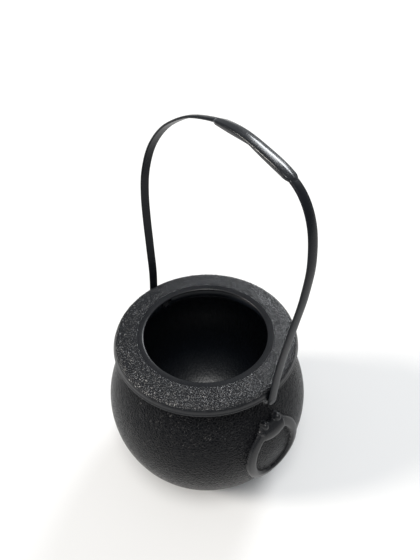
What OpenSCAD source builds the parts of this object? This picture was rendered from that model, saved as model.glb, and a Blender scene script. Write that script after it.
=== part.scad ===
// Small moulded plastic cauldron: a hollow one-piece pot and a one-piece strap handle.
// Millimetres. +Z up, origin at the centre of the base land, the handle pivots on X.

/* [Pot] */
// Widest diameter of the belly
belly_d = 90; // [86:1:94]
// Height of the mouth lip above the surface it stands on
pot_h = 75; // [74:0.5:76]
// Inside diameter of the mouth
mouth_d = 52; // [48:1:54]
// Outside diameter of the rim
rim_d = 77.8; // [77:0.2:78]
// Wall thickness of the belly
wall = 1.1; // [0.9:0.1:1.4]
// Outside diameter of the flat ring it stands on
base_d = 40; // [38:1:42]
// Height of the push-up in the middle of the base
push_up = 1.8; // [1:0.2:2.4]

/* [Relief ring and lug] */
// Height of the ring above the belly
ring_relief = 1.5; // [1:0.1:2]
// Half width of the ring's outline
ring_w = 14; // [13:0.5:15]
// Half height of the ring's outline
ring_h = 16; // [15:0.5:17]
// Width of the ring's band
ring_band = 4; // [3:0.5:5]
// Height of the ring's centre above the base
ring_z = 39.5; // [38:0.5:41]
// Height of the lug above the belly
lug_relief = 2.6; // [2:0.1:3]

/* [Pivots] */
// Height of the handle's pivots
pivot_z = 69.6; // [69.2:0.1:70]
// Outside diameter of the bosses under the rim
boss_d = 6.6; // [6:0.2:7]
// Distance from the pot's axis to a boss's end face
boss_x = 38.7; // [38.4:0.1:38.8]
// Diameter of the bore through a boss's end wall
bore_d = 2.5; // [2.3:0.1:2.7]

/* [Handle] */
// Width of the strap
strap_w = 4; // [3.6:0.2:4.4]
// Thickness of the strap
strap_t = 1.1; // [0.9:0.1:1.2]
// Distance from the pot's axis to the middle of the strap at a pivot
strap_x = 39.95; // [39.9:0.05:40.2]
// Width of the thickened grip
grip_w = 5.4; // [4.8:0.2:6]
// Thickness of the grip at its thickest
grip_t = 2.6; // [2:0.2:3]
// Lean of the handle away from upright, as it stands at rest
lean = 9; // [0:1:20]
// Radial clearance of a peg in its bore
peg_gap = 0.05; // [0.03:0.01:0.08]

/* [Hidden] */
$fn = 96;

// ---- helpers ----
function bez(a, b, c, d, n) = [for (i = [0:n]) let (t = i / n, s = 1 - t)
    s*s*s*a + 3*s*s*t*b + 3*s*t*t*c + t*t*t*d];
function arc(cx, cy, r, a0, a1, n) = [for (i = [0:n]) let (a = a0 + (a1 - a0) * i / n)
    [cx + r * cos(a), cy + r * sin(a)]];
function rev(p) = [for (i = [len(p) - 1:-1:0]) p[i]];
function unit2(v) = v / norm(v);
// normal to the left of the direction of travel at point i of an open line
function nrm(p, i) = let (a = p[max(i - 1, 0)], b = p[min(i + 1, len(p) - 1)], d = unit2(b - a)) [-d[1], d[0]];
function off(p, d) = [for (i = [0:len(p) - 1]) p[i] + d * nrm(p, i)];

// ---- pot profile, in [radius, height] ----
belly_a = belly_d / 2 + 0.1;      // half width of the belly's ellipse
belly_c = 43.4;                   // half height of the belly's ellipse
belly_z = 35.4;                   // height of its centre
neck_z = 64;                      // height where the neck's curve leaves the belly
foot_z = 17;                      // height below which the belly rounds in to the base
function belly_r(z, g = 0) = (belly_a + g) * sqrt(max(0, 1 - pow((z - belly_z) / (belly_c + g), 2)));
neck_r = 30.6;                    // smallest outside radius, behind the bosses
rim_r = rim_d / 2;
mouth_r = mouth_d / 2;

belly_line = [for (i = [0:30]) let (z = neck_z + (foot_z - neck_z) * i / 30) [belly_r(z), z]];
neck_line = rev(bez([belly_r(neck_z), neck_z], [belly_r(neck_z) - 1.4, neck_z + 1.5],
                    [neck_r, 66.2], [neck_r, 67.4], 5));
under_line = rev(bez([neck_r, 67.4], [neck_r, 69.4], [33, 70.7], [rim_r - 2.2, 70.9], 6));
foot_r = base_d / 2;
foot_line = bez([belly_r(foot_z), foot_z], [belly_r(foot_z) - 3.06, foot_z - 6.3], [foot_r + 7.5, 0], [foot_r, 0], 12);
base_line = concat(
    foot_line,
    [[foot_r - 3, 0]],
    bez([foot_r - 3.8, 0.15], [foot_r - 4.9, 0.4], [foot_r - 5.7, push_up], [foot_r - 7.5, push_up], 4),
    [[0, push_up]]);
tail = function (p) [for (i = [1:len(p) - 1]) p[i]];

// outer line from the lip, over the rim, round the neck and belly, to the middle of the base
outer_line = concat(
    [[mouth_r, pot_h - 0.9], [mouth_r + 0.1, pot_h - 0.45], [mouth_r + 0.4, pot_h - 0.1]],
    bez([mouth_r + 1, pot_h], [mouth_r + 4, pot_h + 0.5], [rim_r - 6, pot_h + 0.2], [rim_r - 2.8, pot_h - 0.42], 6),
    tail(arc(rim_r - 2.8, pot_h - 2.97, 2.55, 90, 0, 7)),
    [[rim_r - 0.02, pot_h - 3.35], [rim_r, pot_h - 3.6], [rim_r - 0.3, pot_h - 3.85]],
    under_line,
    tail(neck_line),
    tail(belly_line),
    tail(base_line));

// inner line from the middle of the base back up to the lip
inner_low = concat(
    [[0, push_up + wall], [foot_r - 7.9, push_up + wall]],
    [[foot_r - 5.7, push_up + wall - 0.3], [foot_r - 3.7, 1.35]],
    [[foot_r - 2.4, wall]],
    rev(off(foot_line, -wall)),
    rev([for (i = [0:22]) let (z = neck_z - 0.4 + (foot_z + 2 - neck_z + 0.4) * i / 22)
        [belly_r(z, -wall), z]]));
inner_high = concat(
    bez([belly_r(neck_z - 0.4, -wall), neck_z - 0.4], [belly_r(neck_z - 0.4, -wall) - 1.5, neck_z + 1.3],
        [neck_r - wall, 66.4], [neck_r - wall, 67.6], 5),
    tail(bez([neck_r - wall, 67.6], [neck_r - wall, 70.4], [32.4, 71.8], [rim_r - 3, 72.1], 6)),
    tail(arc(rim_r - 3, 72.65, 0.55, -90, 90, 4)),
    tail(bez([rim_r - 3, 73.2], [rim_r - 6.5, 74.1], [mouth_r + 4, 74.3], [mouth_r + 1.2, 73.85], 5)),
    [[mouth_r + 0.4, pot_h - 1.2]]);

module pot_shell() {
    rotate_extrude() polygon(concat(outer_line, inner_low, tail(inner_high)));
}

// a layer over the belly, g thick, that the relief is cut from
module belly_layer(g) {
    rotate_extrude()
        polygon(concat(
            [for (i = [0:18]) let (z = 20 + 42 * i / 18) [belly_r(z, -0.5), z]],
            rev([for (i = [0:18]) let (z = 20 + 42 * i / 18) [belly_r(z, g), z]])));
}

module along_x(x0, x1) {
    translate([x0, 0, 0]) rotate([90, 0, 90]) linear_extrude(x1 - x0) children();
}

module oval(a, b) {
    polygon([for (i = [0:39]) [a * cos(9 * i), ring_z + b * sin(9 * i)]]);
}

// ring and lug moulded on one side of the belly
module relief() {
    intersection() {
        belly_layer(ring_relief);
        along_x(25, 60) difference() {
            oval(ring_w, ring_h);
            oval(ring_w - ring_band, ring_h - ring_band);
        }
    }
    intersection() {
        belly_layer(lug_relief);
        along_x(25, 60) {
            polygon([[-5.8, 50.2], [-3, 49.3], [0, 49], [3, 49.3], [5.8, 50.2], [5.8, 54.6],
                     [4.9, 56], [-4.9, 56], [-5.8, 54.6]]);
            translate([3.2, 56]) circle(d = 3.2, $fn = 32);
            translate([-3.2, 56]) circle(d = 3.2, $fn = 32);
        }
    }
}

// hollow boss under the rim, open to the inside of the pot
module boss_solid() {
    intersection() {
        translate([neck_r - 3.5, 0, pivot_z - 0.2]) rotate([0, 90, 0])
            cylinder(d = boss_d, h = boss_x - neck_r + 3.5);
        // it stays inside the rim above the rim's lower edge
        union() {
            translate([0, 0, pivot_z - 10]) cylinder(r = rim_r + 5, h = pot_h - 3.6 - pivot_z + 10);
            translate([0, 0, pivot_z - 9]) cylinder(r = rim_r - 0.5, h = 15);
        }
    }
}

module boss_hollow() {
    translate([neck_r - 6, 0, pivot_z - 0.2]) rotate([0, 90, 0])
        cylinder(d = boss_d - 2 * wall, h = boss_x - neck_r + 6 - 1.2);
    translate([boss_x - 3, 0, pivot_z]) rotate([0, 90, 0]) cylinder(d = bore_d, h = 4);
}

module pot_body() {
    color([0.05, 0.055, 0.065])
    difference() {
        union() {
            pot_shell();
            for (s = [0, 180]) rotate([0, 0, s]) {
                relief();
                boss_solid();
            }
        }
        for (s = [0, 180]) rotate([0, 0, s]) boss_hollow();
        // the inside stays round where a boss's root would reach in
        translate([0, 0, 50]) cylinder(r = neck_r - wall - 0.3, h = 23);
    }
}

// ---- handle ----
// the strap's middle line in its own plane, from pivot to pivot, as [x, height above the pivots]
bow = [[-strap_x, 0], [-41.2, 10], [-44.2, 22], [-47.4, 34], [-49.8, 46], [-49.8, 58], [-45.6, 70], [-37, 80],
       [-25, 87], [-12, 90.4], [0, 91], [12, 89], [23, 86], [31.5, 81.5], [37.5, 73.5], [40.6, 63],
       [41.3, 51.5], [40.8, 40], [39.9, 27], [39.5, 14], [strap_x, 0]];
function cr(a, b, c, d, t) = 0.5 * (2*b + (c - a)*t + (2*a - 5*b + 4*c - d)*t*t + (3*b - a - 3*c + d)*t*t*t);
ends = concat([[-strap_x, -9]], bow, [[strap_x, -9]]);
steps = 4;
bow_line = concat(
    [for (i = [1:len(ends) - 3], k = [0:steps - 1]) cr(ends[i-1], ends[i], ends[i+1], ends[i+2], k / steps)],
    [bow[len(bow) - 1]]);

module ribbon(t) {
    polygon(concat(off(bow_line, t / 2), rev(off(bow_line, -t / 2))));
}

// side view of the thickened grip: bowed on top, two straight runs below
grip_from = 37;                   // first and last points of the strap's line that the grip covers
grip_to = 51;
grip_line = [for (i = [grip_from:grip_to]) bow_line[i]];
grip_under = [grip_line[0] + [0.4, -0.5 * strap_t - 0.55], [9.3, 91.2 - grip_t - 0.1],
              grip_line[len(grip_line) - 1] + [-0.75, -0.5 * strap_t - 0.3]];

module grip_outline() {
    polygon(concat(off(grip_line, strap_t / 2 + 0.25), rev(grip_under)));
}

module flat(w) {
    rotate([90, 0, 0]) translate([0, 0, -w / 2]) linear_extrude(w) children();
}

module bail_handle() {
    color([0.09, 0.095, 0.105])
    translate([0, 0, pivot_z]) rotate([-lean, 0, 0]) {
        flat(strap_w) ribbon(strap_t);
        flat(grip_w) grip_outline();
        for (s = [0, 180]) rotate([0, 0, s]) {
            // round end of the strap
            translate([strap_x - strap_t / 2, 0, 0]) rotate([0, 90, 0]) cylinder(d = strap_w, h = strap_t);
            // peg and its snap head
            translate([boss_x - 1.9, 0, 0]) rotate([0, 90, 0])
                cylinder(r = bore_d / 2 - peg_gap, h = strap_x - boss_x + 1.9);
            translate([boss_x - 3.6, 0, 0]) rotate([0, 90, 0]) cylinder(r1 = 0.9, r2 = 1.75, h = 1.7);
            translate([boss_x - 1.9, 0, 0]) rotate([0, 90, 0]) cylinder(r = 1.75, h = 0.35);
        }
    }
}

pot_body();
bail_handle();
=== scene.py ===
import math

import bpy
import bmesh
import numpy as np
from mathutils import Matrix, Vector


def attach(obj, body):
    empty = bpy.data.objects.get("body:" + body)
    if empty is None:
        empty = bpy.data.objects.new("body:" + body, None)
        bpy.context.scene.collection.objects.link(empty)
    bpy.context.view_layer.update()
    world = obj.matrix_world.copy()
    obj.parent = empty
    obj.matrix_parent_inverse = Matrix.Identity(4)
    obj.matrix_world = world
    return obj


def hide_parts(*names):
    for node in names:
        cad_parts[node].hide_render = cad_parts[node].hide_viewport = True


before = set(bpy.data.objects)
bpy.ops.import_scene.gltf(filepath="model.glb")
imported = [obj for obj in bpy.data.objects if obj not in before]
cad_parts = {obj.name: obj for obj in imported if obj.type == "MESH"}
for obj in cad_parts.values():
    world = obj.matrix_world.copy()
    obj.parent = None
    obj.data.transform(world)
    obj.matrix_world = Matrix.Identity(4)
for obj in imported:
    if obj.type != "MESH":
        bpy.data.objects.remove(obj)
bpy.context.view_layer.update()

MM = 0.001
rng = np.random.default_rng(7)

# ------------------------------------------------------------------ helpers


def smooth(e0, e1, x):
    t = np.clip((np.asarray(x, float) - e0) / (e1 - e0), 0, 1)
    return t * t * (3 - 2 * t)


def bez(a, b, c, d, n=24):
    t = np.linspace(0, 1, n + 1)[:, None]
    a, b, c, d = (np.array(p, float) for p in (a, b, c, d))
    s = 1 - t
    return s**3 * a + 3 * s * s * t * b + 3 * s * t * t * c + t**3 * d


def arc(cx, cy, r, a0, a1, n=24):
    a = np.radians(np.linspace(a0, a1, n + 1))
    return np.c_[cx + r * np.cos(a), cy + r * np.sin(a)]


def hash3(i, j, k=0):
    """A repeatable pseudo-random number from 0 to 1 for each pair of whole numbers."""
    n = (i.astype(np.int64) * 374761393 + j.astype(np.int64) * 668265263 + int(k) * 2147483647) & 0xFFFFFFFF
    n = ((n ^ (n >> 13)) * 1274126177) & 0xFFFFFFFF
    return ((n ^ (n >> 16)) & 0xFFFFFF) / float(0xFFFFFF)


def value_noise(u, v, wrap, seed=0):
    """Smooth noise from -1 to 1 on a sheet that closes on itself after wrap cells in u."""
    iu, iv = np.floor(u).astype(int), np.floor(v).astype(int)
    fu, fv = u - iu, v - iv
    fu, fv = fu * fu * (3 - 2 * fu), fv * fv * (3 - 2 * fv)

    def at(a, b):
        return hash3(np.mod(iu + a, wrap), iv + b, seed)

    top = at(0, 0) * (1 - fu) + at(1, 0) * fu
    low = at(0, 1) * (1 - fu) + at(1, 1) * fu
    return 2 * (top * (1 - fv) + low * fv) - 1


def cells(u, v, wrap, seed=0, jitter=0.85):
    """Nearest and second nearest distance, and the nearest cell's own number, for a jittered grid that closes after wrap cells in u."""
    iu, iv = np.floor(u).astype(int), np.floor(v).astype(int)
    d1 = np.full(u.shape, 9.0)
    d2 = np.full(u.shape, 9.0)
    own = np.zeros(u.shape)
    for a in (-1, 0, 1):
        for b in (-1, 0, 1):
            cu, cv = np.mod(iu + a, wrap), iv + b
            pu = iu + a + 0.5 + jitter * (hash3(cu, cv, seed) - 0.5)
            pv = iv + b + 0.5 + jitter * (hash3(cu, cv, seed + 11) - 0.5)
            d = np.hypot(u - pu, v - pv)
            closer = d < d1
            d2 = np.where(closer, d1, np.minimum(d2, d))
            own = np.where(closer, hash3(cu, cv, seed + 23), own)
            d1 = np.where(closer, d, d1)
    return d1, d2, own


def mesh_object(name, verts, faces, mats, slots=None):
    me = bpy.data.meshes.new(name)
    me.from_pydata([tuple(v) for v in verts], [], faces)
    me.validate()
    me.update()
    ob = bpy.data.objects.new(name, me)
    bpy.context.scene.collection.objects.link(ob)
    for m in mats:
        me.materials.append(m)
    if slots is not None:
        me.polygons.foreach_set("material_index", np.asarray(slots, np.int32))
    me.polygons.foreach_set("use_smooth", np.ones(len(me.polygons), bool))
    me.update()
    return ob


def outward(ob):
    bm = bmesh.new()
    bm.from_mesh(ob.data)
    bmesh.ops.recalc_face_normals(bm, faces=bm.faces)
    bm.to_mesh(ob.data)
    bm.free()


def boolean(ob, other, operation):
    m = ob.modifiers.new("b", "BOOLEAN")
    m.object, m.operation, m.solver = other, operation, "EXACT"
    dg = bpy.context.evaluated_depsgraph_get()
    me = bpy.data.meshes.new_from_object(ob.evaluated_get(dg))
    ob.modifiers.clear()
    bm = bmesh.new()
    bm.from_mesh(me)
    bmesh.ops.dissolve_degenerate(bm, dist=2e-6, edges=bm.edges)
    bmesh.ops.triangulate(bm, faces=[f for f in bm.faces if len(f.verts) > 4])
    bmesh.ops.dissolve_degenerate(bm, dist=2e-6, edges=bm.edges)
    bm.to_mesh(me)
    bm.free()
    old, ob.data = ob.data, me
    me.name = old.name
    bpy.data.meshes.remove(old)
    bpy.data.objects.remove(other)
    me.polygons.foreach_set("use_smooth", np.ones(len(me.polygons), bool))
    me.update()


# ------------------------------------------------------------------ sizes, in mm, as the CAD has them

BELLY_A, BELLY_C, BELLY_Z = 45.1, 43.4, 35.4
WALL = 1.1
RIM_R, MOUTH_R, LIP_Z, NECK_R = 38.9, 26.0, 75.0, 30.6
FOOT_Z, FOOT_R, PUSH = 17.0, 20.0, 1.8
PIVOT_Z, LEAN = 69.6, 9.0


def belly_r(z, g=0.0):
    return (BELLY_A + g) * np.sqrt(np.maximum(0, 1 - ((z - BELLY_Z) / (BELLY_C + g)) ** 2))


# ------------------------------------------------------------------ pot: a revolved wall on a grid that is finer where the detail is

# named stretches of the closed profile, from the middle of the base's underside over the rim and back to the middle of the floor inside
zb = np.linspace(FOOT_Z, 64, 140)
zi = np.linspace(63.6, FOOT_Z + 1.2, 120)
foot = bez((belly_r(FOOT_Z), FOOT_Z), (belly_r(FOOT_Z) - 3.06, FOOT_Z - 6.3), (FOOT_R + 7.5, 0), (FOOT_R, 0), 60)[::-1]


def inset(line, g):
    d = np.gradient(line, axis=0)
    d /= np.linalg.norm(d, axis=1)[:, None]
    return line + g * np.c_[-d[:, 1], d[:, 0]]


foot_in = inset(foot, WALL)[::-1]
stretches = [
    ("push", np.array([(0, PUSH), (FOOT_R - 8.4, PUSH)]), 0, 1.5),
    ("step", bez((FOOT_R - 8.4, PUSH), (FOOT_R - 6, PUSH), (FOOT_R - 5.2, 0.02), (FOOT_R - 3.4, 0.0)), 1, 1.2),
    ("land", np.array([(FOOT_R - 3.4, 0), (FOOT_R, 0)]), 1, 1.7),
    ("foot", foot, 1, 2.0),
    ("belly", np.c_[belly_r(zb), zb], 1, 2.1),
    ("neck", bez((belly_r(64), 64), (belly_r(64) - 1.4, 65.5), (NECK_R, 66.2), (NECK_R, 67.4)), 1, 2.0),
    ("under", bez((NECK_R, 67.4), (NECK_R, 69.6), (33, 70.8), (RIM_R - 1.2, 71.0)), 1, 2.0),
    # a thin bead along the rim's lower edge
    ("bead", np.r_[bez((RIM_R - 1.2, 71.0), (RIM_R - 0.5, 71.02), (RIM_R - 0.02, 71.12), (RIM_R, 71.42), 12),
                   bez((RIM_R, 71.42), (RIM_R, 71.72), (RIM_R - 0.3, 71.8), (RIM_R - 0.36, 72.03), 12)[1:]], 2, 1.1),
    ("side", arc(RIM_R - 2.86, 72.03, 2.5, 0, 42), 2, 1.9),
    ("shoulder", arc(RIM_R - 2.86, 72.03, 2.5, 42, 92), 3, 2.2),
    ("top", bez((RIM_R - 2.95, 74.53), (32.5, 75.05), (30.2, 75.22), (28.6, 75.16)), 3, 2.2),
    ("band", bez((28.6, 75.16), (28.1, 75.14), (27.6, 75.1), (27.1, 75.0)), 2, 1.6),
    ("lip", np.r_[bez((27.1, 75.0), (26.5, 74.94), (26.0, 74.75), (25.99, 74.4), 12),
                  bez((25.99, 74.4), (26.0, 74.1), (26.25, 73.86), (26.75, 73.82), 12)[1:]], 2, 0.9),
    ("in_rim", bez((26.75, 73.82), (29.5, 74.25), (32.4, 74.1), (35.9, 73.2)), 1, 2.4),
    ("in_roll", arc(35.9, 72.65, 0.55, 90, -90), 1, 0.9),
    ("in_under", bez((35.9, 72.1), (32.4, 71.8), (29.5, 70.4), (29.5, 67.6)), 1, 2.0),
    ("in_neck", bez((29.5, 67.6), (29.5, 66.4), (belly_r(63.6, -WALL) - 1.5, 65.3), (belly_r(63.6, -WALL), 63.6))[0:], 1, 2.2),
    ("in_belly", np.c_[belly_r(zi, -WALL), zi], 0, 2.0),
    ("in_foot", foot_in, 1, 2.0),
    ("in_step", bez((FOOT_R - 0.2, WALL), (FOOT_R - 5.0, WALL), (FOOT_R - 5.6, PUSH + WALL), (FOOT_R - 8.6, PUSH + WALL)), 1, 1.2),
    ("in_floor", np.array([(FOOT_R - 8.6, PUSH + WALL), (0, PUSH + WALL)]), 0, 1.6),
]
line, level_of, rows = [], [], []
s_at = 0.0
dense_s, dense_p = [0.0], [stretches[0][1][0]]
zone = {}
edges = [0.0]
row_level = []
for name, pts, level, pitch in stretches:
    pts = np.asarray(pts, float)
    seg = np.linalg.norm(np.diff(np.vstack([dense_p[-1], pts]), axis=0), axis=1)
    start = s_at
    for q, l in zip(pts, seg):
        if l > 1e-6:
            s_at += l
            dense_s.append(s_at)
            dense_p.append(q)
    zone[name] = (start, s_at)
    n = max(1, int(round((s_at - start) / pitch)))
    for k in range(n):
        edges.append(start + (s_at - start) * (k + 1) / n)
        row_level.append(level)
dense_s, dense_p = np.array(dense_s), np.array(dense_p)
edges = np.array(edges)
S_END = edges[-1]


def profile(s):
    return np.interp(s, dense_s, dense_p[:, 0]), np.interp(s, dense_s, dense_p[:, 1])


def profile_normal(s):
    r0, z0 = profile(np.maximum(s - 0.12, 0))
    r1, z1 = profile(np.minimum(s + 0.12, S_END))
    dr, dz = r1 - r0, z1 - z0
    l = np.hypot(dr, dz) + 1e-12
    return dz / l, -dr / l


COLS = 98
FINE = 8
n_rows = len(row_level)
level = np.repeat(np.array(row_level)[:, None], COLS, 1)
# the relief on both sides gets the finest grid
mid = (edges[:-1] + edges[1:]) / 2
rm, zm = profile(mid)
phi_mid = (np.arange(COLS) + 0.5) * 2 * np.pi / COLS
s_belly0, s_belly1 = zone["belly"]
on_belly = (mid >= s_belly0) & (mid <= s_belly1)
Y = rm[:, None] * np.sin(phi_mid)[None]
Z = np.repeat(zm[:, None], COLS, 1)
near = on_belly[:, None] & (np.abs(Y) < 16.6) & (Z > 21.5) & (Z < 59.8)
ringy = np.hypot(Y / 15.8, (Z - 39.5) / 17.6) < 1
hole = np.hypot(Y / 7.6, (Z - 39.0) / 9.6) < 1
luggy = (np.abs(Y) < 8.2) & (Z > 46.5) & (Z < 59.8)
fine = near & ((ringy & ~hole) | luggy)
level = np.where(fine, 3, np.maximum(level, np.where(near, 2, 0)))
# neighbours differ by one level at most, so that every step is a clean one
for _ in range(3):
    up = level.copy()
    for a, b in ((0, 1), (0, -1)):
        up = np.maximum(up, np.roll(level, b, 1) - 1)
    up[1:] = np.maximum(up[1:], level[:-1] - 1)
    up[:-1] = np.maximum(up[:-1], level[1:] - 1)
    level = up

# vertices by whole-number place on the finest grid: column i of COLS * FINE, row j of n_rows * FINE
NI, NJ = COLS * FINE, n_rows * FINE
used = np.zeros((NJ + 1, NI), bool)
for j in range(n_rows):
    for L in range(4):
        cols = np.nonzero(level[j] == L)[0]
        if not len(cols):
            continue
        step = FINE >> L
        sub = np.arange(0, FINE + 1, step)
        jj = j * FINE + sub
        ii = (cols[:, None] * FINE + sub[None]).ravel() % NI
        used[np.ix_(jj, np.unique(ii))] = True
# both ends of the profile are single points
used[0] = False
used[NJ] = False
index = np.full((NJ + 1, NI), -1, np.int64)
index[used] = np.arange(used.sum())
jj, ii = np.nonzero(used)
phi = ii * 2 * np.pi / NI
row = jj // FINE
row = np.minimum(row, n_rows - 1)
s_v = edges[row] + (edges[row + 1] - edges[row]) * (jj - row * FINE) / FINE
P0, P1 = len(phi), len(phi) + 1

faces = []
face_s = []
for j in range(n_rows):
    for c in range(COLS):
        L = level[j, c]
        step = FINE >> L
        for b in range(0, FINE, step):
            j0, j1 = j * FINE + b, j * FINE + b + step
            for a in range(0, FINE, step):
                i0, i1 = c * FINE + a, c * FINE + a + step
                poly = []
                if j0 == 0:
                    poly.append(P0)
                else:
                    for i in range(i0, i1):
                        q = index[j0, i % NI]
                        if q >= 0:
                            poly.append(int(q))
                for k in range(j0, j1):
                    q = index[k, i1 % NI]
                    if q >= 0:
                        poly.append(int(q))
                if j1 == NJ:
                    poly.append(P1)
                else:
                    for i in range(i1, i0, -1):
                        q = index[j1, i % NI]
                        if q >= 0:
                            poly.append(int(q))
                for k in range(j1, j0, -1):
                    q = index[k, i0 % NI]
                    if q >= 0:
                        poly.append(int(q))
                clean = [p for n_, p in enumerate(poly) if p != poly[n_ - 1]]
                if len(clean) > 2:
                    faces.append(clean[::-1])
                    face_s.append((edges[j] + edges[j + 1]) / 2)

# ---- heights over the smooth wall, in mm
r_v, z_v = profile(s_v)
nr_v, nz_v = profile_normal(s_v)
x_v, y_v = r_v * np.cos(phi), r_v * np.sin(phi)


def between(name, s, soft=0.4):
    a, b = zone[name]
    return smooth(a - soft, a + soft, s) * (1 - smooth(b - soft, b + soft, s))


def relief_height(y, z):
    """Height of the ring and lug over the belly, looking along X."""
    # ring: an oval band with a rounded section, deeper on its outside
    py, pz = y, z - 39.5
    rho = np.hypot(py / 12.0, pz / 14.0) + 1e-9
    dist = (rho - 1) * np.hypot(py, pz) / rho
    u = np.abs(dist) / 2.0
    band = 1.5 * np.sqrt(np.clip(1 - np.clip(u, 0, 1) ** 3.4, 0, 1)) * (1 - smooth(0.93, 1.06, u))
    # inside the ring the surface is dished very slightly
    dish = -0.12 * (1 - smooth(0.3, 1.0, np.hypot(y / 10.0, (z - 39.5) / 12.0)))
    # lug: a cushion with a straight top and a bowed bottom edge
    low = 49.0 + 0.036 * y * y
    dy = 5.8 - np.abs(y)
    dz0, dz1 = z - low, 56.0 - z
    edge = np.minimum(np.minimum(dz0, dz1), dy)
    across = np.clip((z - low) / np.maximum(56.0 - low, 0.1), 0, 1)
    crown = 0.55 + 0.45 * np.sin(np.pi * np.clip(across, 0, 1) ** 0.9)
    lug = 2.6 * crown * np.sqrt(np.clip(1 - (1 - np.clip(edge / 1.2, 0, 1)) ** 2, 0, 1))
    lug = np.where(edge > 0, lug, 0)
    out = np.maximum(band, lug) + np.where(lug + band < 0.02, dish, 0)
    # two knobs at each end of the lug's top edge
    for cy, cz, rr, hh in ((3.3, 55.9, 1.8, 3.0), (5.4, 53.8, 1.3, 2.2)):
        for sgn in (1, -1):
            q = np.hypot(y - sgn * cy, z - cz) / rr
            out = np.maximum(out, hh * np.clip(1 - q**2, 0, 1) ** 0.62)
    return out


h = np.zeros(len(phi))
on_side = (s_v > s_belly0) & (s_v < s_belly1) & (np.abs(y_v) < 17.5) & (z_v > 21) & (z_v < 60.5)
rel = np.zeros(len(phi))
rel[on_side] = relief_height(y_v[on_side] * np.sign(x_v[on_side]), z_v[on_side])
h += rel

# leather-like grain on the rim: pebbles parted by creases, on a sheet unrolled along the rim
mid_r = 34.5
wrap = int(round(2 * np.pi * mid_r / 1.05))
gu = phi / (2 * np.pi) * wrap
gv = (s_v - zone["side"][0]) / 1.05 + 40
wu = value_noise(gu * 0.5, gv * 0.5, wrap // 2, 3)
wv = value_noise(gu * 0.5, gv * 0.5, wrap // 2, 5)
d1, d2, own = cells(gu + 0.35 * wu, gv + 0.35 * wv, wrap, 9)
crease = 1 - np.exp(-((d2 - d1) / 0.34) ** 1.4)
pebble = crease * (0.75 + 0.5 * own) - 0.25 * d1
a_side, a_sh, a_top, a_band = zone["side"], zone["shoulder"], zone["top"], zone["band"]
grain = smooth(a_side[0] + 0.3, a_sh[0] + 0.5, s_v) * (1 - smooth(a_top[1] - 1.9, a_top[1] - 0.2, s_v))
edge_wave = value_noise(phi / (2 * np.pi) * 60, s_v * 0.0, 60, 31)
h += 0.25 * grain * (pebble - 0.6)

# a moulding is never quite even: long soft waves in the wall, none where it stands or where the handle's pegs are
wave = (value_noise(phi / (2 * np.pi) * 9, s_v / 21.0, 9, 41) * 0.6 + value_noise(phi / (2 * np.pi) * 21, s_v / 9.0, 21, 43) * 0.3)
outer = smooth(zone["foot"][0] + 2, zone["foot"][1], s_v) * (1 - smooth(zone["neck"][0], zone["neck"][1], s_v))
rimtop = smooth(a_side[1] - 1, a_side[1] + 1, s_v) * (1 - smooth(zone["lip"][0], zone["lip"][1], s_v))
h += 0.10 * wave * outer + 0.07 * wave * rimtop
inside = smooth(zone["in_belly"][0] + 2, zone["in_belly"][0] + 6, s_v) * (1 - smooth(zone["in_step"][0], zone["in_step"][1], s_v))
# drawn streaks run down the wall inside
streak = value_noise(phi / (2 * np.pi) * 88, s_v / 30.0, 88, 51)
h += inside * (0.10 * wave + 0.05 * streak)
h = np.clip(h, -0.3, 3.1)

pos = np.c_[(r_v + h * nr_v) * np.cos(phi), (r_v + h * nr_v) * np.sin(phi), z_v + h * nz_v]
pos = np.vstack([pos, [0, 0, PUSH], [0, 0, PUSH + WALL]])
print("pot grid", len(pos), "points", len(faces), "faces")


# ------------------------------------------------------------------ materials


def nodes_of(name):
    m = bpy.data.materials.new(name)
    m.use_nodes = True
    nt = m.node_tree
    nt.nodes.clear()
    out = nt.nodes.new("ShaderNodeOutputMaterial")
    bsdf = nt.nodes.new("ShaderNodeBsdfPrincipled")
    nt.links.new(bsdf.outputs[0], out.inputs[0])
    return m, nt, bsdf


def add(nt, kind, **values):
    n = nt.nodes.new(kind)
    for k, v in values.items():
        if k in n.inputs:
            n.inputs[k].default_value = v
        else:
            setattr(n, k, v)
    return n


def ramp(nt, source, stops):
    n = nt.nodes.new("ShaderNodeValToRGB")
    el = n.color_ramp.elements
    while len(el) > 1:
        el.remove(el[-1])
    el[0].position, el[0].color = stops[0][0], (*stops[0][1], 1)
    for p, c in stops[1:]:
        e = el.new(p)
        e.color = (*c, 1)
    nt.links.new(source, n.inputs[0])
    return n.outputs[0]


def math_node(nt, op, a, b):
    n = nt.nodes.new("ShaderNodeMath")
    n.operation = op
    for i, v in enumerate((a, b)):
        if isinstance(v, (int, float)):
            n.inputs[i].default_value = v
        else:
            nt.links.new(v, n.inputs[i])
    return n.outputs[0]


def grey(v):
    return (v, v, v)


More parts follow.
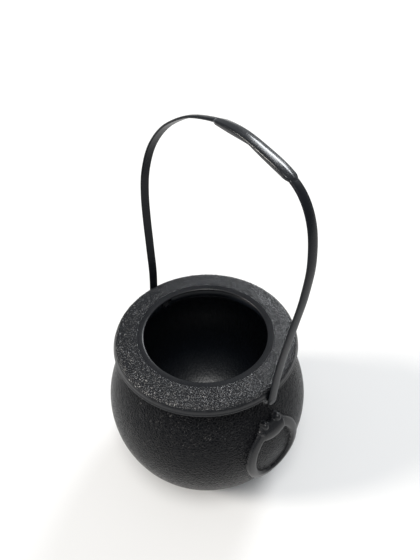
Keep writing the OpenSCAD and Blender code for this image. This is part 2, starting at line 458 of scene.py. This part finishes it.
def plastic(name, base, dust, rough, grain_scale, grain_depth, fine_depth, streaks=False, mottle=0.35, spec=0.5):
    """Black moulded plastic: colour a little uneven, dust in scattered specks, a grain and a finer tooth, all in the
    piece's own space.
    """
    m, nt, bsdf = nodes_of(name)
    coord = add(nt, "ShaderNodeTexCoord").outputs["Object"]
    big = add(nt, "ShaderNodeTexNoise", Scale=90.0, Detail=4.0, Roughness=0.6)
    nt.links.new(coord, big.inputs["Vector"])
    small = add(nt, "ShaderNodeTexNoise", Scale=2600.0, Detail=3.0, Roughness=0.6)
    nt.links.new(coord, small.inputs["Vector"])
    warp = add(nt, "ShaderNodeTexNoise", Scale=700.0, Detail=2.0)
    nt.links.new(coord, warp.inputs["Vector"])
    mixv = nt.nodes.new("ShaderNodeMix")
    mixv.data_type = "VECTOR"
    mixv.inputs["Factor"].default_value = 0.0006
    nt.links.new(coord, mixv.inputs[4])
    nt.links.new(warp.outputs["Color"], mixv.inputs[5])
    peb = add(nt, "ShaderNodeTexVoronoi", Scale=grain_scale)
    peb.feature = "DISTANCE_TO_EDGE"
    nt.links.new(mixv.outputs[1], peb.inputs["Vector"])
    # colour
    c = ramp(nt, big.outputs["Fac"], [(0.3, base), (0.7, tuple(b * (1 + mottle) for b in base))])
    specks = ramp(nt, small.outputs["Fac"], [(0.66, grey(0)), (0.8, grey(1))])
    mixc = nt.nodes.new("ShaderNodeMix")
    mixc.data_type = "RGBA"
    nt.links.new(math_node(nt, "MULTIPLY", specks, 0.25), mixc.inputs["Factor"])
    nt.links.new(c, mixc.inputs[6])
    mixc.inputs[7].default_value = (*dust, 1)
    nt.links.new(mixc.outputs[2], bsdf.inputs["Base Color"])
    # roughness
    r = ramp(nt, big.outputs["Fac"], [(0.25, grey(rough[0])), (0.75, grey(rough[1]))])
    r2 = math_node(nt, "ADD", r, math_node(nt, "MULTIPLY", math_node(nt, "SUBTRACT", small.outputs["Fac"], 0.5), 0.25))
    nt.links.new(r2, bsdf.inputs["Roughness"])
    # bump
    last = None
    if grain_depth:
        hgt = ramp(nt, peb.outputs["Distance"], [(0.0, grey(0)), (0.22, grey(0.8)), (0.5, grey(1))])
        b = add(nt, "ShaderNodeBump", Strength=1.0, Distance=grain_depth)
        nt.links.new(hgt, b.inputs["Height"])
        last = b
    if streaks:
        mp = add(nt, "ShaderNodeMapping")
        mp.inputs["Scale"].default_value = (900.0, 900.0, 25.0)
        nt.links.new(coord, mp.inputs["Vector"])
        st = add(nt, "ShaderNodeTexNoise", Scale=1.0, Detail=3.0)
        nt.links.new(mp.outputs[0], st.inputs["Vector"])
        b = add(nt, "ShaderNodeBump", Strength=1.0, Distance=0.00012)
        nt.links.new(st.outputs["Fac"], b.inputs["Height"])
        if last:
            nt.links.new(last.outputs[0], b.inputs["Normal"])
        last = b
    b = add(nt, "ShaderNodeBump", Strength=1.0, Distance=fine_depth)
    nt.links.new(small.outputs["Fac"], b.inputs["Height"])
    if last:
        nt.links.new(last.outputs[0], b.inputs["Normal"])
    nt.links.new(b.outputs[0], bsdf.inputs["Normal"])
    bsdf.inputs["IOR"].default_value = 1.5
    bsdf.inputs["Specular IOR Level"].default_value = spec
    return m


DUST = (0.11, 0.105, 0.095)
m_grain = plastic("grained_plastic", (0.006, 0.0065, 0.008), DUST, (0.15, 0.25), 1250.0, 0.0001, 0.000012, spec=0.5)
# the belly is the same plastic as the rim; its base colour and dust, darker than the rim's, are painted shade
m_belly_painted_shade = plastic("plastic_belly_painted_shade", (0.0022, 0.0025, 0.0036), (0.03, 0.029, 0.027), (0.22, 0.32), 900.0, 0.0003, 0.000015, spec=0.12)
m_smooth = plastic("smooth_plastic", (0.006, 0.0065, 0.008), DUST, (0.26, 0.36), 1250.0, 0.0, 0.000015, spec=0.36)
m_inside = plastic("inside_plastic", (0.005, 0.0075, 0.012), DUST, (0.34, 0.42), 1250.0, 0.0, 0.00001, streaks=True, mottle=0.2, spec=0.75)
m_strap = plastic("strap_plastic", (0.005, 0.006, 0.008), DUST, (0.26, 0.36), 1250.0, 0.0, 0.000016, spec=0.18)
m_grip = plastic("grip_plastic", (0.006, 0.007, 0.009), DUST, (0.14, 0.22), 1250.0, 0.0, 0.000008, spec=0.5)

# the ring and the lug are smooth, the belly round them is grained
rel_all = np.r_[rel, 0, 0]
slot_of = []
for f, s in zip(faces, face_s):
    if s < zone["land"][1]:
        slot_of.append(2)
    elif s < zone["neck"][0]:
        slot_of.append(2 if rel_all[f].mean() > 0.35 else 1)
    elif s < zone["side"][1] - 0.2:
        slot_of.append(2)
    elif s < zone["top"][1]:
        slot_of.append(0)
    elif s < zone["in_rim"][0]:
        slot_of.append(2)
    else:
        slot_of.append(3)
pot = mesh_object("pot", pos * MM, faces, [m_grain, m_belly_painted_shade, m_smooth, m_inside], slot_of)


# ------------------------------------------------------------------ bosses under the rim, with the bore the handle's peg sits in

def cylinder_x(name, x0, x1, r, y, z, seg=48):
    """A closed cylinder along X, with a slightly rounded far edge."""
    a = (np.arange(seg) + 0.37) * 2 * np.pi / seg
    ring = np.c_[np.cos(a), np.sin(a)]
    sign = 1 if x1 > x0 else -1
    stations = [(x0, r), (x1 - sign * 0.3, r), (x1 - sign * 0.09, r - 0.08), (x1, r - 0.3)]
    v = []
    for x, rr in stations:
        v += [(x, y + rr * q[0], z + rr * q[1]) for q in ring]
    f = []
    for k in range(len(stations) - 1):
        for i in range(seg):
            f.append([k * seg + i, k * seg + (i + 1) % seg, (k + 1) * seg + (i + 1) % seg, (k + 1) * seg + i])
    f.append(list(range(seg))[::-1])
    f.append([(len(stations) - 1) * seg + i for i in range(seg)])
    ob = mesh_object(name, np.array(v) * MM, f, [])
    outward(ob)
    return ob


for sgn in (1, -1):
    boolean(pot, cylinder_x("cut", sgn * 29.6, sgn * 38.4, 3.0, 0, PIVOT_Z - 0.35), "UNION")
for sgn in (1, -1):
    boolean(pot, cylinder_x("cut", sgn * 27.0, sgn * 37.3, 2.1, 0, PIVOT_Z - 0.15), "DIFFERENCE")
    boolean(pot, cylinder_x("cut", sgn * 36.0, sgn * 39.4, 1.25, 0, PIVOT_Z), "DIFFERENCE")
print("pot", len(pot.data.vertices), len(pot.data.polygons))

# ------------------------------------------------------------------ handle: one strap with a crowned face, a thicker grip on top, and a peg at each end

BOW = np.array([[-39.95, 0], [-41.2, 10], [-44.2, 22], [-47.4, 34], [-49.8, 46], [-49.8, 58], [-45.6, 70], [-37, 80],
                [-25, 87], [-12, 90.4], [0, 91], [12, 89], [23, 86], [31.5, 81.5], [37.5, 73.5], [40.6, 63],
                [41.3, 51.5], [40.8, 40], [39.9, 27], [39.5, 14], [39.95, 0]])


def catmull(ends, k, t):
    a, b, c, d = ends[k - 1], ends[k], ends[k + 1], ends[k + 2]
    return 0.5 * (2 * b + (c - a) * t + (2 * a - 5 * b + 4 * c - d) * t * t + (3 * b - a - 3 * c + d) * t**3)


ends = np.vstack([[-39.95, -9], BOW, [39.95, -9]])
dense = np.array([catmull(ends, k, t) for k in range(1, len(ends) - 2) for t in np.linspace(0, 1, 41)[:-1]] + [BOW[-1]])
along = np.r_[0, np.cumsum(np.linalg.norm(np.diff(dense, axis=0), axis=1))]
LEN = along[-1]


def on_bow(s):
    p = np.c_[np.interp(s, along, dense[:, 0]), np.interp(s, along, dense[:, 1])]
    q0 = np.c_[np.interp(np.maximum(s - 0.5, 0), along, dense[:, 0]), np.interp(np.maximum(s - 0.5, 0), along, dense[:, 1])]
    q1 = np.c_[np.interp(np.minimum(s + 0.5, LEN), along, dense[:, 0]), np.interp(np.minimum(s + 0.5, LEN), along, dense[:, 1])]
    t = q1 - q0
    t /= np.linalg.norm(t, axis=1)[:, None]
    return p, t, np.c_[-t[:, 1], t[:, 0]]


def s_of_x(x, top=True):
    sel = (dense[:, 1] > 75)
    return float(np.interp(x, dense[sel][:, 0], along[sel]))


G0, G1 = s_of_x(-8.2), s_of_x(26.8)
KINK = s_of_x(9.3)
s_list = [np.arange(0, G0 - 2.4, 1.1), np.arange(G0 - 2.4, G0 + 2.4, 0.2), np.arange(G0 + 2.4, G1 - 2.4, 0.7),
          np.arange(G1 - 2.4, G1 + 2.4, 0.2), np.arange(G1 + 2.4, LEN - 0.2, 1.1), [LEN]]
stations = np.unique(np.round(np.concatenate(s_list), 4))

# section, going round: the outer face from edge to edge, then the inner face back, u is the place across, from -1 to 1
u_out = np.r_[-1, -0.985, -0.95, -0.9, np.linspace(-0.8, 0.8, 13), 0.9, 0.95, 0.985, 1]
u_in = np.r_[1, 0.985, 0.95, 0.9, np.linspace(0.75, -0.75, 7), -0.9, -0.95, -0.985, -1]
K = len(u_out) + len(u_in)


def across(s, u, outer_face):
    """Place across (mm) and height from the strap's middle line (mm) of section point u at place s."""
    # the grip's ends are bowed: its middle reaches further along than its edges
    bow = 0.7 * (1 - u * u)
    g = smooth(G0 - bow - 0.05, G0 - bow + 0.45, s) * (1 - smooth(G1 + bow - 0.45, G1 + bow + 0.05, s))
    gw = smooth(G0 - 0.5, G0 + 1.6, s) * (1 - smooth(G1 - 1.6, G1 + 0.5, s))
    half = 2.0 + 0.7 * gw
    end = np.minimum(s, LEN - s)
    w = u * half
    flat = np.clip(np.abs(u), 0, 1)
    if outer_face:
        crown = 0.53 - 0.30 * flat**2.2
        round_off = 0.22 * smooth(0.9, 1.0, flat) ** 2
        base = crown - round_off
        # two facets meet in a soft ridge along the grip
        ridge = 0.80 - 0.34 * np.sqrt(u * u + 0.012) - 0.10 * flat**4 - 0.3 * smooth(0.88, 1.0, flat) ** 2
        return w, base * (1 - g) + ridge * g
    under = -0.53 + 0.16 * smooth(0.88, 1.0, flat) ** 2
    # the grip's underside: two straight runs with a kink between them
    p, t, n = on_bow(s)
    run0 = np.array([float(np.interp(G0, along, dense[:, 0])) + 0.4, float(np.interp(G0, along, dense[:, 1])) - 1.1])
    run1 = np.array([9.3, 88.5])
    run2 = np.array([float(np.interp(G1, along, dense[:, 0])) - 0.75, float(np.interp(G1, along, dense[:, 1])) - 0.85])
    x = p[:, 0]
    yline = np.where(x < 9.3, run0[1] + (run1[1] - run0[1]) * (x - run0[0]) / (run1[0] - run0[0]),
                     run1[1] + (run2[1] - run1[1]) * (x - run1[0]) / (run2[0] - run1[0]))
    deep = -(p[:, 1] - yline) * np.clip(n[:, 1], 0.5, 1)
    deep = np.clip(deep, -2.25, -0.56)
    gu = smooth(G0 - 0.3, G0 + 0.3, s) * (1 - smooth(G1 - 0.3, G1 + 0.3, s))
    inner = deep + 0.55 * smooth(0.55, 1.0, flat) ** 1.6
    return w, under * (1 - gu) + inner * gu


P, T, N = on_bow(stations)
sheet = np.zeros((len(stations), K, 3))
c9, s9 = math.cos(math.radians(LEAN)), math.sin(math.radians(LEAN))
for k in range(K):
    is_out = k < len(u_out)
    u = np.full(len(stations), u_out[k] if is_out else u_in[k - len(u_out)])
    w, n = across(stations, u, is_out)
    # small unevenness of the strap
    wob = 0.05 * np.sin(stations * 0.31 + 1.3) * np.sin(stations * 0.083)
    x = P[:, 0] + N[:, 0] * (n + wob)
    hgt = P[:, 1] + N[:, 1] * (n + wob)
    sheet[:, k] = np.c_[x, w, hgt]


def to_rest(v):
    """From the handle's own plane, pivots at height 0, to where it stands at rest."""
    v = np.asarray(v, float)
    return np.c_[v[:, 0], v[:, 1] * c9 + v[:, 2] * s9, PIVOT_Z - v[:, 1] * s9 + v[:, 2] * c9]


M = len(stations)
hv = sheet.reshape(-1, 3)
hf, hs = [], []
for i in range(M - 1):
    for k in range(K):
        k2 = (k + 1) % K
        hf.append([i * K + k, i * K + k2, (i + 1) * K + k2, (i + 1) * K + k])
        sm = (stations[i] + stations[i + 1]) / 2
        hs.append(1 if G0 - 0.7 < sm < G1 + 0.7 else 0)
hf.append([k for k in range(K)])
hs.append(0)
hf.append([(M - 1) * K + k for k in range(K)][::-1])
hs.append(0)
handle = mesh_object("handle", to_rest(hv) * MM, hf, [m_strap, m_grip], hs)
outward(handle)


def lathe_x(name, prof, sgn, seg=48):
    """A closed solid turned about the pivot's axis. prof is [distance from the pot's axis, radius] from the inner to the outer end, in the handle's plane."""
    a = (np.arange(seg) + 0.37) * 2 * np.pi / seg
    v, f = [], []
    for x, r in prof:
        v += [(sgn * x, r * math.cos(t), r * math.sin(t)) for t in a]
    n = len(prof)
    for k in range(n - 1):
        for i in range(seg):
            f.append([k * seg + i, k * seg + (i + 1) % seg, (k + 1) * seg + (i + 1) % seg, (k + 1) * seg + i])
    f.append(list(range(seg)))
    f.append([(n - 1) * seg + i for i in range(seg)])
    ob = mesh_object(name, to_rest(v) * MM, f, [])
    outward(ob)
    return ob


for sgn in (1, -1):
    # round end of the strap, with soft edges, and the peg with its snap head in one turned shape
    prof = [(35.1, 0.85), (35.25, 1.0), (36.8, 1.72), (37.1, 1.75), (37.16, 1.62), (37.18, 1.2), (39.36, 1.2),
            (39.42, 1.75), (39.52, 1.93), (39.64, 2.0), (40.2, 1.99), (40.34, 1.9), (40.42, 1.7), (40.47, 1.2), (40.5, 0.4)]
    boolean(handle, lathe_x("end", prof, sgn), "UNION")
print("handle", len(handle.data.vertices), len(handle.data.polygons))

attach(pot, "pot")
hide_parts("pot_body")
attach(handle, "handle")
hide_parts("bail_handle")

# ------------------------------------------------------------------ stage, light and camera

bpy.ops.mesh.primitive_plane_add(size=30, location=(0, 0, -0.0001))
floor = bpy.context.object
floor.name = "floor"
mf, nt, bs = nodes_of("pale_floor")
n = add(nt, "ShaderNodeTexNoise", Scale=3.0)
nt.links.new(ramp(nt, n.outputs["Fac"], [(0.3, grey(0.86)), (0.7, grey(0.88))]), bs.inputs["Base Color"])
bs.inputs["Roughness"].default_value = 0.8
floor.data.materials.append(mf)

world = bpy.data.worlds.new("studio")
bpy.context.scene.world = world
world.use_nodes = True
bg = world.node_tree.nodes["Background"]
bg.inputs[0].default_value = (0.92, 0.96, 1.0, 1)
bg.inputs[1].default_value = 0.36


def soft_sun(name, toward, strength, width, color):
    """A wide soft light from far away, so that the floor is evenly lit."""
    d = bpy.data.lights.new(name, "SUN")
    d.energy, d.color, d.angle = strength, color, math.radians(width)
    o = bpy.data.objects.new(name, d)
    o.rotation_mode = "QUATERNION"
    o.rotation_quaternion = (-Vector(toward)).to_track_quat("-Z", "Y")
    bpy.context.scene.collection.objects.link(o)


soft_sun("overhead", (0.2, -0.16, 0.96), 1.4, 26, (1.0, 0.985, 0.96))
soft_sun("left_front", (-0.46, -0.714, 0.529), 2.1, 15, (1.0, 0.95, 0.88))
soft_sun("right_back", (-0.32, 0.80, 0.51), 1.5, 20, (0.94, 0.97, 1.0))

cam_data = bpy.data.cameras.new("camera")
cam = bpy.data.objects.new("camera", cam_data)
bpy.context.scene.collection.objects.link(cam)
eye = Vector((106.65, -81.95, 221.47)) * MM
right = Vector((0.63221, 0.77467, -0.01427)).normalized()
back = -Vector((-0.58817, 0.46785, -0.65969)).normalized()
up = back.cross(right).normalized()
right = up.cross(back).normalized()
cam.matrix_world = Matrix(((right.x, up.x, back.x, eye.x), (right.y, up.y, back.y, eye.y), (right.z, up.z, back.z, eye.z), (0, 0, 0, 1)))
cam_data.sensor_width = 36.0
cam_data.lens = 470 * 36.0 / 560
cam_data.clip_start, cam_data.clip_end = 0.005, 50
bpy.context.scene.camera = cam
bpy.context.scene.view_settings.view_transform = "Standard"
